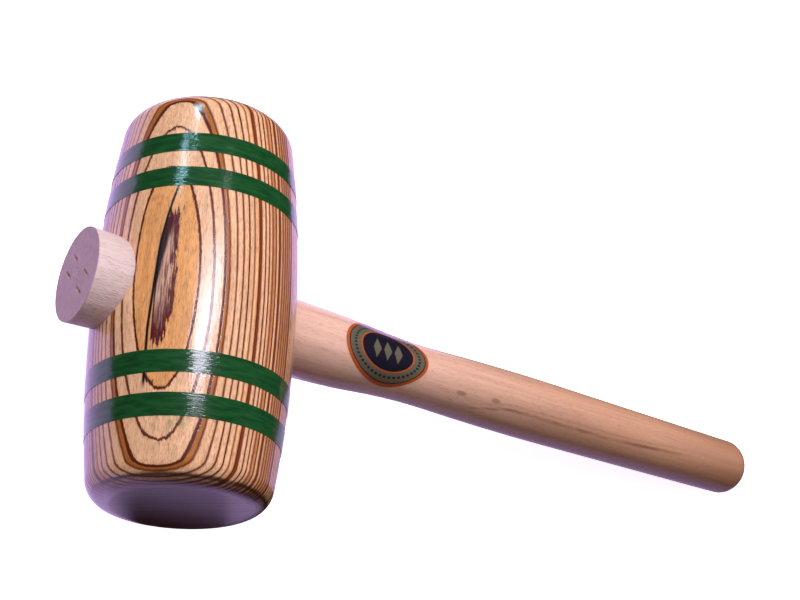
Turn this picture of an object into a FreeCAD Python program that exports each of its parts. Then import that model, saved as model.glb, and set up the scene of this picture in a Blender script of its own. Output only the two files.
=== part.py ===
import FreeCAD, Part
import os
import Sketcher

# A round wooden mallet. The barrel head is glued up from veneers (plies) and turned, and a
# tapered handle is driven through its eye until it wedges. Four green bands are painted round
# the head and an oval paper label is stuck on the handle.
#
# Each piece is drawn round the middle of the head: X runs along the handle towards its butt, Y
# along the head from face to face, and Z up. The resting place then lays the mallet on the
# floor, on the fattest part of the barrel and on the butt of the handle.

# All lengths in millimetres, all angles in degrees.
DIMENSIONS = {
    # Head
    "head_radius": 38.0,         # at the middle, where the barrel is fattest
    "head_length": 155.0,        # from striking face to striking face
    "end_radius": 32.2,          # where the bulge would meet the end, before the edge is rounded
    "edge_round": 9.2,           # rounding of the edge of each striking face
    # Plies
    "ply_thick": 1.55,           # a light long-grain ply
    "dark_ply_thick": 0.85,      # a dark cross-grain ply
    "plies_between": 5,          # light plies from one dark ply to the next
    "first_dark_top": 32.825,    # from the head's middle to the upper face of the first dark ply
    "ply_lean": 42.6,            # from upright to the plies' normal, leaning away from the butt
    # Handle, every reach measured from the head's middle
    "stub_reach": 48.0,          # to the wide end, which stands out of the head
    "stub_radius": 17.9,
    "shoulder_reach": 60.0,      # to the end of the straight taper that fills the eye
    "shoulder_radius": 14.65,
    "waist_reach": 102.0,        # to the thinnest place, in front of the grip
    "waist_radius": 12.55,
    "waist_curve": 300.0,
    "swell_reach": 167.0,        # to the thickest place of the grip
    "swell_radius": 13.72,
    "butt_reach": 299.0,
    "butt_round": 9.2,
    "butt_flat": 3.7,            # radius of the small flat left on the butt
    # Marks that the lathe's driving centre leaves in the wide end
    "prong_turn": -47.0,
    "prong_along": 7.6,          # from the end's middle to the middle of a slit, along the slit
    "prong_across": 3.5,
    "prong_length": 6.0,
    "prong_width": 1.5,
    "prick_along": 2.1,
    "prick_across": 1.5,
    "prick_size": 1.0,
    "mark_depth": 1.6,
    # Painted bands
    "paint_thick": 0.15,
    "band_width": 8.2,
    "inner_band_start": 32.3,    # from the head's middle to the near edge of an inner band
    "outer_band_start": 47.6,
    # Label
    "label_thick": 0.15,
    "label_reach": 80.0,         # from the head's middle to the middle of the label
    "label_length": 42.0,
    "label_width": 24.4,         # as seen from straight above the handle
}

MOST_NODES = 60

# Names that the sketcher knows only by number
HORIZONTAL_AXIS = -1
START, END, CENTRE = 1, 2, 3
ORIGIN = (HORIZONTAL_AXIS, START)

# The frames that pieces are placed in, as expressions
REST = "resting_place.Placement"
PLY_REST = "ply_place.Placement"

# Where the handle's curves are first guessed to meet, as shares of the way along them
SWELL_CURVE_SHARE = 1 / 6
NECK_BULGE = 0.6
QUARTER_ROUND_MIDDLE = 0.7       # how far the middle of a quarter round is along each side

# Limits for the tests of the cuts
STRAIGHT_EDGE = 1e-3             # an edge thinner than this lies in one plane
MOST_WOOD_LEFT = 0.95            # share of the head's wood that may be left beside the eye
MOST_MARK_VOLUME = 100           # cubic millimetres that the centre's marks may take

doc = FreeCAD.newDocument("mallet")
nodes = []


def make_sheet():
    """The spreadsheet of driving dimensions, one named cell to a row."""
    cells = doc.addObject("Spreadsheet::Sheet", "Sheet")
    for row, (alias, value) in enumerate(DIMENSIONS.items(), start=1):
        cells.set(f"A{row}", alias)
        cells.set(f"B{row}", str(value))
        cells.setAlias(f"B{row}", alias)
    doc.recompute()
    return cells


sheet = make_sheet()


def size(alias):
    """The present value of one driving dimension."""
    return float(sheet.get(alias))


def node(feature, label):
    """Finish a sub-part: its label is the name of its node."""
    feature.Label = label
    nodes.append(feature)
    return feature


# Sketch helpers

def new_body(name):
    body = doc.addObject("PartDesign::Body", name)
    body.setExpression("Placement", REST)
    return body


def new_sketch(body, name, role="XY_Plane"):
    """An empty sketch on one of the body's own origin planes."""
    planes = [p for p in body.Origin.OriginFeatures if p.Role == role]
    sketch = body.newObject("Sketcher::SketchObject", name)
    sketch.AttachmentSupport = [(planes[0], "")]
    sketch.MapMode = "FlatFace"
    return sketch


def vector(x, y):
    return FreeCAD.Vector(x, y, 0)


def line(sketch, first, last):
    return sketch.addGeometry(Part.LineSegment(vector(*first), vector(*last)))


def arc(sketch, first, middle, last):
    """An arc through three points, which Part always turns anticlockwise."""
    curve = Part.Arc(vector(*first), vector(*middle), vector(*last))
    return sketch.addGeometry(curve)


def rule(sketch, kind, *where):
    return sketch.addConstraint(Sketcher.Constraint(kind, *where))


def measure(sketch, kind, name, where, expression):
    """A named dimension of the sketch, bound to the sheet."""
    start_value = sketch.evalExpression(expression)
    number = sketch.addConstraint(Sketcher.Constraint(kind, *where, float(start_value)))
    sketch.renameConstraint(number, name)
    sketch.setExpression(f"Constraints.{name}", expression)
    return number


def join(sketch, first, first_end, second, second_end, kind="Coincident"):
    rule(sketch, kind, first, first_end, second, second_end)


def along(sketch, name, first, first_end, second, second_end, expression):
    measure(sketch, "DistanceX", name, (first, first_end, second, second_end), expression)


def up(sketch, name, first, first_end, second, second_end, expression):
    measure(sketch, "DistanceY", name, (first, first_end, second, second_end), expression)


def turn(body, kind, name, sketch, axis):
    """Turn a sketch all the way round: a Revolution adds material, a Groove takes it away."""
    feature = body.newObject(f"PartDesign::{kind}", name)
    feature.Profile = sketch
    feature.ReferenceAxis = (sketch, [axis])
    feature.Angle = 360.0
    sketch.Visibility = False
    doc.recompute()
    return feature


def boolean(kind, name, base, tool):
    """Part's Cut or Common of two objects."""
    feature = doc.addObject(f"Part::{kind}", name)
    feature.Base = base
    feature.Tool = tool
    return feature


def placement(x="0", y="0", z="0", turn_axis="0; 0; 1", angle="0"):
    """An expression for a placement."""
    place = f"create(<<vector>>; {x}; {y}; {z})"
    rotation = f"create(<<rotation>>; create(<<vector>>; {turn_axis}); {angle})"
    return f"create(<<placement>>; {place}; {rotation})"


def placed(frame, **inside):
    """An expression for a placement inside a frame."""
    return f"{frame} * {placement(**inside)}"


# Resting place

def make_resting_place():
    """Lay the mallet down: the barrel and the round of the butt both touch the floor, and the
    origin is on the floor under the middle of the whole mallet."""
    place = doc.addObject("Part::LocalCoordinateSystem", "resting_place")
    place.addProperty("App::PropertyAngle", "Tilt")
    place.addProperty("App::PropertyFloat", "BackEnd")
    place.addProperty("App::PropertyFloat", "FrontEnd")
    reach = "(Sheet.butt_reach - Sheet.butt_round)"
    drop = "(Sheet.head_radius - Sheet.butt_round)"
    flat = "Sheet.butt_flat"
    place.setExpression("Tilt", f"asin({drop} / hypot({reach}; {flat})) - atan2({flat}; {reach})")
    place.setExpression("BackEnd", "Sheet.stub_reach * cos(Tilt) + Sheet.stub_radius * sin(Tilt)")
    place.setExpression("FrontEnd", f"{reach} * cos(Tilt) + {flat} * sin(Tilt) + Sheet.butt_round")
    middle = "(BackEnd - FrontEnd) / 2"
    laid = placement(x=middle, z="Sheet.head_radius", turn_axis="0; 1; 0", angle="Tilt")
    place.setExpression("Placement", laid)


def make_ply_place():
    """The plies' own frame: its Z is the plies' normal."""
    place = doc.addObject("Part::LocalCoordinateSystem", "ply_place")
    lean = placed(REST, turn_axis="0; 1; 0", angle="-Sheet.ply_lean")
    place.setExpression("Placement", lean)


# Head

def barrel_sketch(body, name, skin="0"):
    """Half the barrel's outline, to be turned about the vertical axis: flat ends and an arc."""
    half = size("head_length") / 2
    end_radius = size("end_radius")
    sketch = new_sketch(body, name)
    axis = line(sketch, (0, -half), (0, half))
    top = line(sketch, (0, half), (end_radius, half))
    bulge = arc(sketch, (end_radius, -half), (size("head_radius"), 0), (end_radius, half))
    bottom = line(sketch, (end_radius, -half), (0, -half))
    join(sketch, axis, END, top, START)
    join(sketch, top, END, bulge, END)
    join(sketch, bulge, START, bottom, START)
    join(sketch, bottom, END, axis, START)
    rule(sketch, "Vertical", axis)
    rule(sketch, "Horizontal", top)
    rule(sketch, "Horizontal", bottom)
    rule(sketch, "Symmetric", axis, START, axis, END, *ORIGIN)
    rule(sketch, "PointOnObject", bulge, CENTRE, HORIZONTAL_AXIS)
    rise = "(Sheet.head_radius - Sheet.end_radius)"
    up(sketch, "length", axis, START, axis, END, "Sheet.head_length")
    along(sketch, "end_radius", axis, END, top, END, f"Sheet.end_radius + {skin}")
    bulge_radius = f"((Sheet.head_length / 2)^2 + {rise}^2) / (2 * {rise})"
    measure(sketch, "Radius", "bulge_radius", (bulge,), bulge_radius)
    return sketch


def eye_sketch(body):
    """The eye's outline, to be turned about the handle's axis: the handle's own straight taper."""
    back = -size("stub_reach")
    front = size("shoulder_reach")
    back_radius = size("stub_radius")
    front_radius = size("shoulder_radius")
    sketch = new_sketch(body, "eye_outline")
    axis = line(sketch, (back, 0), (front, 0))
    narrow = line(sketch, (front, 0), (front, front_radius))
    wall = line(sketch, (front, front_radius), (back, back_radius))
    wide = line(sketch, (back, back_radius), (back, 0))
    join(sketch, axis, END, narrow, START)
    join(sketch, narrow, END, wall, START)
    join(sketch, wall, END, wide, START)
    join(sketch, wide, END, axis, START)
    rule(sketch, "Vertical", narrow)
    rule(sketch, "Vertical", wide)
    rule(sketch, "PointOnObject", axis, START, HORIZONTAL_AXIS)
    rule(sketch, "PointOnObject", axis, END, HORIZONTAL_AXIS)
    along(sketch, "back", axis, START, *ORIGIN, "Sheet.stub_reach")
    along(sketch, "front", *ORIGIN, axis, END, "Sheet.shoulder_reach")
    up(sketch, "wide_radius", wide, END, wide, START, "Sheet.stub_radius")
    up(sketch, "narrow_radius", narrow, START, narrow, END, "Sheet.shoulder_radius")
    return sketch


def end_rims(shape):
    """The names of the two sharp rims of the barrel."""
    rims = []
    for number, edge in enumerate(shape.Edges, start=1):
        box = edge.BoundBox
        if box.YLength < STRAIGHT_EDGE and box.XLength > size("end_radius"):
            rims.append(f"Edge{number}")
    return rims


def make_head_block():
    """The glued block after turning and boring, before it is seen as plies."""
    body = new_body("head_block")
    barrel = turn(body, "Revolution", "barrel", barrel_sketch(body, "barrel_outline"), "V_Axis")
    rounding = body.newObject("PartDesign::Fillet", "edge_rounding")
    rounding.Base = (barrel, end_rims(barrel.Shape))
    rounding.setExpression("Radius", "Sheet.edge_round")
    doc.recompute()
    solid = rounding.Shape.Volume
    eye = turn(body, "Groove", "eye", eye_sketch(body), "H_Axis")
    if eye.Shape.Volume > MOST_WOOD_LEFT * solid:
        raise RuntimeError("the eye took too little wood out of the head")
    return body


def ply_faces():
    """The upper and lower face of every ply as expressions, and whether the ply is a dark one.

    The dark plies are evenly spaced. The light plies fill the gaps between them, and as many as
    fit lie above the first dark ply and below the last one.
    """
    light = size("ply_thick")
    dark = size("dark_ply_thick")
    between = int(size("plies_between"))
    limit = size("head_radius")
    pitch = "(Sheet.plies_between * Sheet.ply_thick + Sheet.dark_ply_thick)"
    above = int((limit - size("first_dark_top")) / light) + 1
    plies = []
    for count in range(above, 0, -1):
        lower = f"Sheet.first_dark_top + {count - 1} * Sheet.ply_thick"
        plies.append((f"{lower} + Sheet.ply_thick", lower, False))
    group = 0
    top = size("first_dark_top")
    while top - dark > -limit:
        dark_top = f"Sheet.first_dark_top - {group} * {pitch}"
        dark_bottom = f"{dark_top} - Sheet.dark_ply_thick"
        plies.append((dark_top, dark_bottom, True))
        top -= dark
        for count in range(between):
            if top > -limit:
                upper = f"{dark_bottom} - {count} * Sheet.ply_thick"
                plies.append((upper, f"{upper} - Sheet.ply_thick", False))
                top -= light
        group += 1
    return plies


def make_ply(block, upper, lower, label):
    """One ply: what the head block has between the ply's two faces."""
    slab = doc.addObject("Part::Box", f"{label}_slab")
    reach = "Sheet.head_length"
    slab.setExpression("Length", f"2 * {reach}")
    slab.setExpression("Width", f"2 * {reach}")
    slab.setExpression("Height", f"{upper} - ({lower})")
    slab.setExpression("Placement", placed(PLY_REST, x=f"-{reach}", y=f"-{reach}", z=lower))
    node(boolean("Common", f"{label}_piece", block, slab), label)


def make_plies(block):
    """Light plies are ply_01, ply_02 and on, counted from the top; dark ones are dark_ply_1."""
    light_count = 0
    dark_count = 0
    for upper, lower, dark in ply_faces():
        if dark:
            dark_count += 1
            make_ply(block, upper, lower, f"dark_ply_{dark_count}")
        else:
            light_count += 1
            make_ply(block, upper, lower, f"ply_{light_count:02d}")


# Handle

def handle_edges(sketch):
    """Half the handle's outline before it is fixed: nine edges, from the wide end to the butt."""
    back = -size("stub_reach")
    back_radius = size("stub_radius")
    shoulder = (size("shoulder_reach"), size("shoulder_radius"))
    waist = (size("waist_reach"), size("waist_radius"))
    swell = (size("swell_reach"), size("swell_radius"))
    butt_x = size("butt_reach")
    flat = size("butt_flat")
    round_radius = size("butt_round")
    length_share = SWELL_CURVE_SHARE * (swell[0] - waist[0])
    neck = ((shoulder[0] + waist[0]) / 2, (shoulder[1] + waist[1]) / 2)
    neck_height = NECK_BULGE * shoulder[1] + (1 - NECK_BULGE) * neck[1]
    neck_middle = ((shoulder[0] + neck[0]) / 2, neck_height)
    rise = (waist[0] + length_share, waist[1] + SWELL_CURVE_SHARE * (swell[1] - waist[1]))
    crest = (swell[0] + length_share, swell[1])
    heel = (butt_x - round_radius, flat + round_radius)
    short_of_butt = (1 - QUARTER_ROUND_MIDDLE) * round_radius
    heel_middle = (butt_x - short_of_butt, flat + QUARTER_ROUND_MIDDLE * round_radius)
    return {
        "wide_end": line(sketch, (back, 0), (back, back_radius)),
        "taper": line(sketch, (back, back_radius), shoulder),
        "neck": arc(sketch, neck, neck_middle, shoulder),
        "waist": arc(sketch, neck, waist, rise),
        "swell": arc(sketch, crest, swell, rise),
        "grip": line(sketch, crest, heel),
        "heel": arc(sketch, (butt_x, flat), heel_middle, heel),
        "butt": line(sketch, (butt_x, flat), (butt_x, 0)),
        "axis": line(sketch, (butt_x, 0), (back, 0)),
    }


def join_handle_edges(sketch, edges):
    """Join the handle's edges end to end, each curve tangent to its neighbours."""
    join(sketch, edges["wide_end"], END, edges["taper"], START)
    join(sketch, edges["taper"], END, edges["neck"], END, "Tangent")
    join(sketch, edges["neck"], START, edges["waist"], START, "Tangent")
    join(sketch, edges["waist"], END, edges["swell"], END, "Tangent")
    join(sketch, edges["swell"], START, edges["grip"], START, "Tangent")
    join(sketch, edges["grip"], END, edges["heel"], END, "Tangent")
    join(sketch, edges["heel"], START, edges["butt"], START, "Tangent")
    join(sketch, edges["butt"], END, edges["axis"], START)
    join(sketch, edges["axis"], END, edges["wide_end"], START)
    rule(sketch, "PointOnObject", edges["axis"], START, HORIZONTAL_AXIS)
    rule(sketch, "PointOnObject", edges["axis"], END, HORIZONTAL_AXIS)
    rule(sketch, "Vertical", edges["wide_end"])
    rule(sketch, "Vertical", edges["butt"])


def size_handle_edges(sketch, edges, skin):
    """Bind the handle's reaches, radii and curves to the sheet, the radii made larger by a skin."""
    rise_height = "(Sheet.swell_radius - Sheet.waist_radius)"
    rise_length = "(Sheet.swell_reach - Sheet.waist_reach)"
    both_curves = f"({rise_length}^2 + {rise_height}^2) / (2 * {rise_height})"
    waist_centre = f"Sheet.waist_radius + Sheet.waist_curve + {skin}"
    swell_curve = f"{both_curves} - Sheet.waist_curve"
    wide_end, taper, butt = edges["wide_end"], edges["taper"], edges["butt"]
    along(sketch, "stub_reach", wide_end, START, *ORIGIN, "Sheet.stub_reach")
    up(sketch, "stub_radius", wide_end, START, wide_end, END, f"Sheet.stub_radius + {skin}")
    along(sketch, "shoulder_reach", *ORIGIN, taper, END, "Sheet.shoulder_reach")
    up(sketch, "shoulder_radius", *ORIGIN, taper, END, f"Sheet.shoulder_radius + {skin}")
    along(sketch, "waist_reach", *ORIGIN, edges["waist"], CENTRE, "Sheet.waist_reach")
    up(sketch, "waist_centre", *ORIGIN, edges["waist"], CENTRE, waist_centre)
    measure(sketch, "Radius", "waist_curve", (edges["waist"],), "Sheet.waist_curve")
    along(sketch, "swell_reach", *ORIGIN, edges["swell"], CENTRE, "Sheet.swell_reach")
    measure(sketch, "Radius", "swell_curve", (edges["swell"],), swell_curve)
    along(sketch, "butt_reach", *ORIGIN, butt, START, "Sheet.butt_reach")
    up(sketch, "butt_flat", butt, END, butt, START, f"Sheet.butt_flat + {skin}")
    measure(sketch, "Radius", "butt_round", (edges["heel"],), "Sheet.butt_round")


def handle_sketch(body, name, skin="0"):
    """Half the handle's outline, to be turned about the horizontal axis.

    A straight taper runs from the wide end through the eye to the shoulder. Three arcs, each
    tangent to the next, make the neck, the waist and the swell of the grip, and a straight
    grip line runs on to the round heel of the butt.
    """
    sketch = new_sketch(body, name)
    edges = handle_edges(sketch)
    join_handle_edges(sketch, edges)
    size_handle_edges(sketch, edges, skin)
    return sketch


def mark(sketch, name, centre, sides):
    """One upright rectangle, from expressions for its centre and its two sides."""
    centre_x, centre_y = (float(sketch.evalExpression(value)) for value in centre)
    half_x, half_y = (float(sketch.evalExpression(value)) / 2 for value in sides)
    left, right = centre_x - half_x, centre_x + half_x
    low, high = centre_y - half_y, centre_y + half_y
    corners = [(left, low), (right, low), (right, high), (left, high)]
    edges = [line(sketch, corners[i], corners[(i + 1) % 4]) for i in range(4)]
    for i in range(4):
        join(sketch, edges[i], END, edges[(i + 1) % 4], START)
        rule(sketch, ("Horizontal", "Vertical")[i % 2], edges[i])
    along(sketch, f"{name}_length", edges[0], START, edges[0], END, sides[0])
    up(sketch, f"{name}_width", edges[1], START, edges[1], END, sides[1])
    along(sketch, f"{name}_x", *ORIGIN, edges[0], START, f"{centre[0]} - ({sides[0]}) / 2")
    up(sketch, f"{name}_y", *ORIGIN, edges[0], START, f"{centre[1]} - ({sides[1]}) / 2")


def cut_centre_marks(body):
    """Four parallel slits and four small pricks that the driving centre pressed into the end."""
    sketch = new_sketch(body, "centre_marks", "YZ_Plane")
    sketch.setExpression("AttachmentOffset", placement(z="-Sheet.stub_reach", angle="Sheet.prong_turn"))
    slit = ("Sheet.prong_length", "Sheet.prong_width")
    prick = ("Sheet.prick_size", "Sheet.prick_size")
    for number, (side_x, side_y) in enumerate([(1, 1), (-1, 1), (-1, -1), (1, -1)], start=1):
        slit_centre = (f"{side_x} * Sheet.prong_along", f"{side_y} * Sheet.prong_across")
        prick_centre = (f"{side_x} * Sheet.prick_along", f"{side_y} * Sheet.prick_across")
        mark(sketch, f"slit{number}", slit_centre, slit)
        mark(sketch, f"prick{number}", prick_centre, prick)
    doc.recompute()
    solid = body.Shape.Volume
    pocket = body.newObject("PartDesign::Pocket", "centre_mark_cut")
    pocket.Profile = sketch
    pocket.setExpression("Length", "Sheet.mark_depth")
    pocket.Reversed = True
    sketch.Visibility = False
    doc.recompute()
    if not 0 < solid - pocket.Shape.Volume < MOST_MARK_VOLUME:
        raise RuntimeError("the centre marks are not cut into the wide end")


def make_handle():
    body = new_body("turned_handle")
    turn(body, "Revolution", "turning", handle_sketch(body, "handle_outline"), "H_Axis")
    cut_centre_marks(body)
    return node(body, "handle")


# Painted bands

def make_bands(block):
    """Four thin rings of paint on the barrel, two on each side of the middle."""
    body = new_body("paint_skin")
    outline = barrel_sketch(body, "paint_outline", "Sheet.paint_thick")
    turn(body, "Revolution", "painted_barrel", outline, "V_Axis")
    paint = boolean("Cut", "paint_shell", body, block)
    bands = {
        "outer_band_left": "-Sheet.outer_band_start - Sheet.band_width",
        "inner_band_left": "-Sheet.inner_band_start - Sheet.band_width",
        "inner_band_right": "Sheet.inner_band_start",
        "outer_band_right": "Sheet.outer_band_start",
    }
    for label, start in bands.items():
        disc = doc.addObject("Part::Cylinder", f"{label}_disc")
        disc.setExpression("Radius", "2 * Sheet.head_radius")
        disc.setExpression("Height", "Sheet.band_width")
        disc.setExpression("Placement", placed(REST, y=start, turn_axis="1; 0; 0", angle="-90"))
        node(boolean("Common", f"{label}_paint", paint, disc), label)


# Label

def make_label(handle):
    """An oval of thin paper wrapped over the upper side of the handle."""
    body = new_body("label_skin")
    outline = handle_sketch(body, "label_skin_outline", "Sheet.label_thick")
    turn(body, "Revolution", "skinned_handle", outline, "H_Axis")
    shell = boolean("Cut", "label_shell", body, handle)
    oval = doc.addObject("Part::Ellipse", "label_oval")
    oval.setExpression("MajorRadius", "Sheet.label_length / 2")
    oval.setExpression("MinorRadius", "Sheet.label_width / 2")
    oval.setExpression("Placement", placed(REST, x="Sheet.label_reach"))
    stamp = doc.addObject("Part::Extrusion", "label_stamp")
    stamp.Base = oval
    stamp.DirMode = "Normal"
    stamp.Solid = True
    stamp.setExpression("LengthFwd", "2 * Sheet.stub_radius")
    node(boolean("Common", "label_paper", shell, stamp), "oval_label")


# The whole mallet

def check_document():
    """Stop on a failed object or a bad shape before anything is written."""
    for feature in doc.Objects:
        if "Invalid" in feature.State or "Error" in feature.State:
            raise RuntimeError(f"{feature.Name} failed: {feature.State}")
    for part in nodes:
        if part.Shape.isNull() or not part.Shape.isValid() or len(part.Shape.Solids) != 1:
            raise RuntimeError(f"{part.Label} is not one sound solid")
    if len(nodes) > MOST_NODES:
        raise RuntimeError(f"{len(nodes)} nodes are more than {MOST_NODES}")


def write_parts():
    os.makedirs("parts", exist_ok=True)
    for part in nodes:
        part.Shape.exportStep(f"parts/{part.Label}.step")


make_resting_place()
make_ply_place()
head_block = make_head_block()
make_plies(head_block)
mallet_handle = make_handle()
make_bands(head_block)
make_label(mallet_handle)
doc.recompute()
check_document()
write_parts()
print(len(nodes), "nodes written")
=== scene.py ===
"""The looks of a round wooden mallet: lacquered laminated head, green bands, beech handle, oval label.

Lengths are in metres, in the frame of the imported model. Materials work in millimetres instead, in two sets of
directions:
  the head's: Depth through the plies, Across them on the surface, and Along the head;
  the handle's: Along the handle, Aside to its left and Up from it.
"""

import math

import bmesh
import bpy
from mathutils import Matrix, Vector


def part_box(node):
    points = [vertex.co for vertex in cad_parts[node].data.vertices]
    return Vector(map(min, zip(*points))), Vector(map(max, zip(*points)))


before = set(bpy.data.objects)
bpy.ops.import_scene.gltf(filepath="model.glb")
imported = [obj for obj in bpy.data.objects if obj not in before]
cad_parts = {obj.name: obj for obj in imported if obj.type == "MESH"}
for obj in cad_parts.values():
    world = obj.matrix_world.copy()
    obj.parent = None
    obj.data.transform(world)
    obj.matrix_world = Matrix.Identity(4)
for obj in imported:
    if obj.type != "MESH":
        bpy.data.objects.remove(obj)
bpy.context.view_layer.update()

MM = 0.001

# ---------------------------------------------------------------- the head and handle, from the frame

LIGHT_PLIES_BETWEEN = 5
HANDLE_SLOPE = math.radians(4.97)
LABEL_NODE = "oval_label"
HANDLE_NODE = "handle"


def nodes_named(part):
    """The CAD nodes whose names hold that word, in order."""
    return [name for name in sorted(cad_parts) if part in name]


def joint_box(names):
    """Lowest and highest corner of several CAD nodes together."""
    boxes = [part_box(name) for name in names]
    low = Vector([min(box[0][axis] for box in boxes) for axis in range(3)])
    high = Vector([max(box[1][axis] for box in boxes) for axis in range(3)])
    return low, high


def span_along(name, origin, direction):
    """How far a CAD node reaches along a direction from a point: least and most."""
    reach = [(vertex.co - origin).dot(direction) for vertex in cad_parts[name].data.vertices]
    return min(reach), max(reach)


HEAD_LOW, HEAD_HIGH = joint_box(nodes_named("ply_"))
HEAD_CENTRE = (HEAD_LOW + HEAD_HIGH) / 2
HEAD_RADIUS = (HEAD_HIGH.z - HEAD_LOW.z) / 2
HEAD_HALF_LENGTH = (HEAD_HIGH.y - HEAD_LOW.y) / 2

OUTER_PLY_LOW, OUTER_PLY_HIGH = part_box("ply_01")
THROUGH_PLIES = ((OUTER_PLY_LOW + OUTER_PLY_HIGH) / 2 - HEAD_CENTRE).normalized()
ALONG_HEAD = Vector((0, 1, 0))
ACROSS_PLIES = ALONG_HEAD.cross(THROUGH_PLIES)

DARK_BOTTOM, DARK_TOP = span_along("dark_ply_1", HEAD_CENTRE, THROUGH_PLIES)
NEXT_DARK_TOP = span_along("dark_ply_2", HEAD_CENTRE, THROUGH_PLIES)[1]

ALONG_HANDLE = Vector((math.cos(HANDLE_SLOPE), 0, -math.sin(HANDLE_SLOPE)))
ASIDE_HANDLE = Vector((0, 1, 0))
UP_FROM_HANDLE = ALONG_HANDLE.cross(ASIDE_HANDLE)

# The same model in millimetres, for the materials.
HEAD_RADIUS_MM = HEAD_RADIUS / MM
HEAD_END_MM = HEAD_HALF_LENGTH / MM
DARK_TOP_MM = DARK_TOP / MM
DARK_PLY_MM = (DARK_TOP - DARK_BOTTOM) / MM
REPEAT_MM = (DARK_TOP - NEXT_DARK_TOP) / MM
LIGHT_PLY_MM = (REPEAT_MM - DARK_PLY_MM) / LIGHT_PLIES_BETWEEN
LABEL_START, LABEL_END = [reach / MM for reach in span_along(LABEL_NODE, HEAD_CENTRE, ALONG_HANDLE)]
LABEL_HALF_WIDTH = span_along(LABEL_NODE, HEAD_CENTRE, ASIDE_HANDLE)[1] / MM
STUB_END, BUTT_END = [reach / MM for reach in span_along(HANDLE_NODE, HEAD_CENTRE, ALONG_HANDLE)]
EYE_END = HEAD_RADIUS_MM


# ---------------------------------------------------------------- colours


def linear(byte):
    """One sRGB channel, 0 to 255, as the linear value that a shader takes."""
    share = byte / 255
    return share / 12.92 if share <= 0.04045 else ((share + 0.055) / 1.055) ** 2.4


def colour(red, green, blue):
    """An sRGB colour, 0 to 255, as a shader's colour."""
    return (linear(red), linear(green), linear(blue), 1.0)


PEACH_PLY = colour(242, 184, 136)
PINK_PLY = colour(244, 194, 158)
AMBER_PLY = colour(234, 168, 110)
BROWN_PLY = colour(192, 128, 88)
OCHRE_PLY = colour(178, 110, 54)
UMBER_PLY = colour(112, 62, 40)
PLY_FLECK = colour(140, 72, 36)
GLUE_LINE = colour(74, 12, 5)
GLUE_STAIN = colour(152, 60, 26)
SCORCH = colour(52, 30, 26)
PAINT_SMEAR = colour(120, 130, 72)
HEART_GREY = colour(216, 172, 154)
HEART_BROWN = colour(124, 84, 76)
HEART_PURPLE = colour(86, 24, 34)
HEART_BLACK = colour(24, 22, 32)
# Darker end grain of the striking faces, partly painted shade.
END_GRAIN_AND_SHADE = colour(92, 54, 46)
BAND_GREEN = colour(30, 82, 42)
BAND_DEEP_GREEN = colour(20, 64, 33)
BEECH_STUB = colour(236, 212, 214)
# The stub's end face: darker end grain, with a painted lilac shade on it.
BEECH_STUB_END_AND_LILAC_SHADE = colour(216, 178, 198)
BEECH_PALE = colour(236, 190, 174)
BEECH_TAN = colour(212, 158, 130)
BEECH_BUTT = colour(182, 130, 103)
BEECH_STREAK = colour(108, 62, 40)
BEECH_FLECK = colour(166, 110, 86)
LABEL_RIM = colour(184, 84, 34)
LABEL_FIELD = colour(102, 94, 78)
LABEL_NAVY = colour(28, 24, 40)
FLOOR_TONE = colour(244, 240, 247)
BACKDROP_TONE = colour(246, 244, 248)


# ---------------------------------------------------------------- shader nodes

# Smooth noise lies mostly between the first two, and hardly ever above the third.
NOISE_LOW = 0.3
NOISE_HIGH = 0.7
HIGHEST_NOISE = 0.8


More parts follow.
